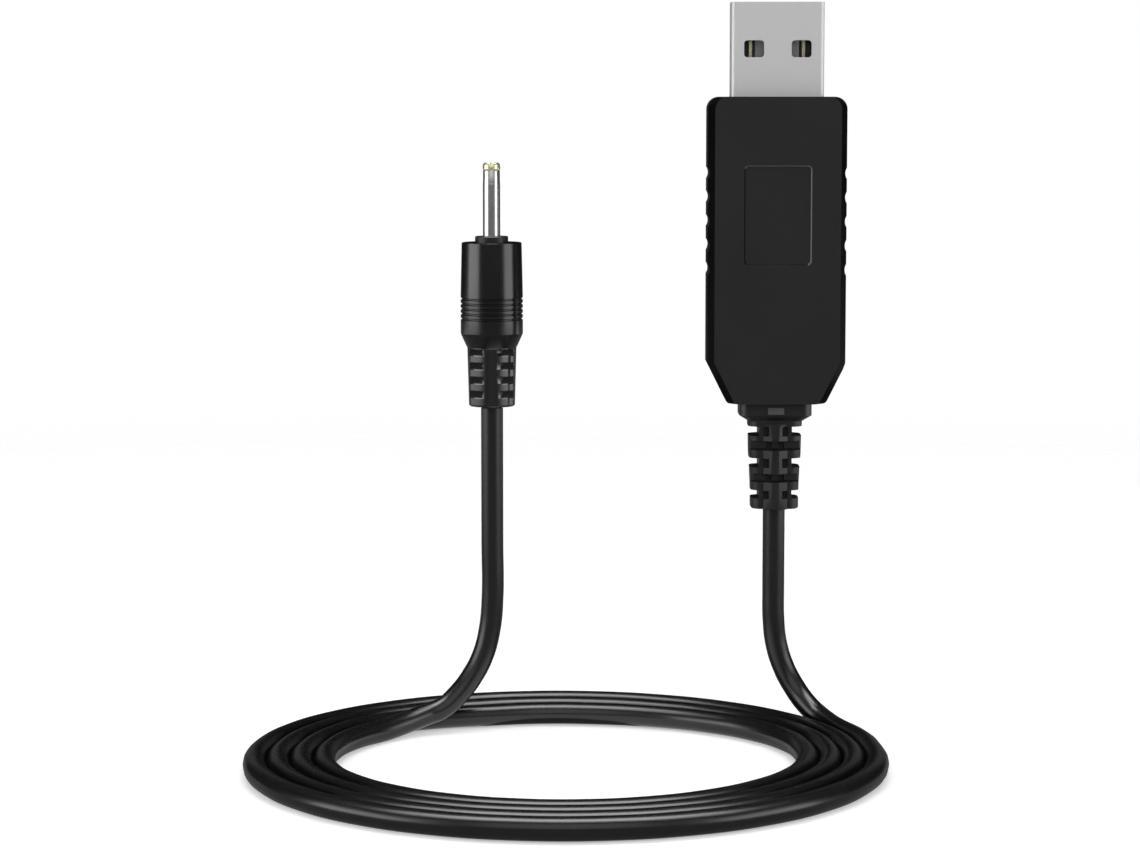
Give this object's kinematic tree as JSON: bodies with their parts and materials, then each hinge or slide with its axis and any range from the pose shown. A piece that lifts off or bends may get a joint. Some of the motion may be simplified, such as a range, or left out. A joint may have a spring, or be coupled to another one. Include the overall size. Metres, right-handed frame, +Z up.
{
  "type": "usb charging lead",
  "caption": "Charging lead for a beard trimmer: a cord wound in a flat coil, with a boxy USB-A plug at one end and a slim barrel plug at the other.",
  "frame": {"origin": "on the table under the middle of the coil, at the bottom centre of the whole lead's box", "axes": "+Z up along both standing plugs, +Y from the coil's front to the plugs behind its middle, +X towards the USB plug"},
  "size_m": [0.0792, 0.0776, 0.0952],
  "materials": {
    "nickel_plate": "bright nickel plate on pressed or turned metal",
    "gold_contact": "thin gold plate",
    "charcoal_plastic": "satin moulded plastic",
    "black_plastic": "moulded plastic",
    "charcoal_rubber": "satin flexible PVC",
    "ivory_plastic": "pale moulded plastic",
    "board_laminate": "green solder mask",
    "dark_component": "moulded component body",
    "tan_component": "fired ceramic body",
    "red_wire": "wire insulation",
    "black_wire": "wire insulation"
  },
  "bodies": {
    "cord": {"cord_usb_drop": "charcoal_rubber", "cord_coil": "charcoal_rubber", "cord_dc_drop": "charcoal_rubber"},
    "usb_plug": {"usb_shell": "nickel_plate", "usb_insulator": "black_plastic", "usb_contact_power": "gold_contact", "usb_contact_data_minus": "gold_contact", "usb_contact_data_plus": "gold_contact", "usb_contact_ground": "gold_contact", "housing_front_cover": "charcoal_plastic", "housing_rear_cover": "charcoal_plastic", "circuit_board": "board_laminate", "power_inductor": "dark_component", "rectifier_diode": "dark_component", "converter_chip": "dark_component", "input_capacitor": "tan_component", "output_capacitor": "tan_component", "feedback_resistor_upper": "dark_component", "feedback_resistor_lower": "dark_component", "usb_positive_wire": "red_wire", "usb_negative_wire": "black_wire", "usb_strain_relief": "charcoal_rubber"},
    "dc_plug": {"dc_strain_relief": "charcoal_rubber", "dc_grip": "charcoal_rubber", "dc_inner_moulding": "black_plastic", "dc_sleeve": "nickel_plate", "dc_tip_ring": "ivory_plastic", "dc_centre_contact": "gold_contact", "dc_positive_wire": "red_wire", "dc_negative_wire": "black_wire"}
  },
  "joints": [
    {"name": "usb_plug_flex", "type": "hinge", "parent": "cord", "child": "usb_plug", "pos_m": [0.02713, 0.02561, 0.03665], "axis": [0, 1, 0], "range_deg": [-20, 20], "stiffness_Nm_per_rad": 0.05, "deforming": ["usb_strain_relief"]},
    {"name": "dc_plug_flex", "type": "hinge", "parent": "cord", "child": "dc_plug", "pos_m": [-0.00971, 0.02561, 0.04685], "axis": [0, 1, 0], "range_deg": [-20, 20], "stiffness_Nm_per_rad": 0.02, "deforming": ["dc_strain_relief"]}
  ]
}
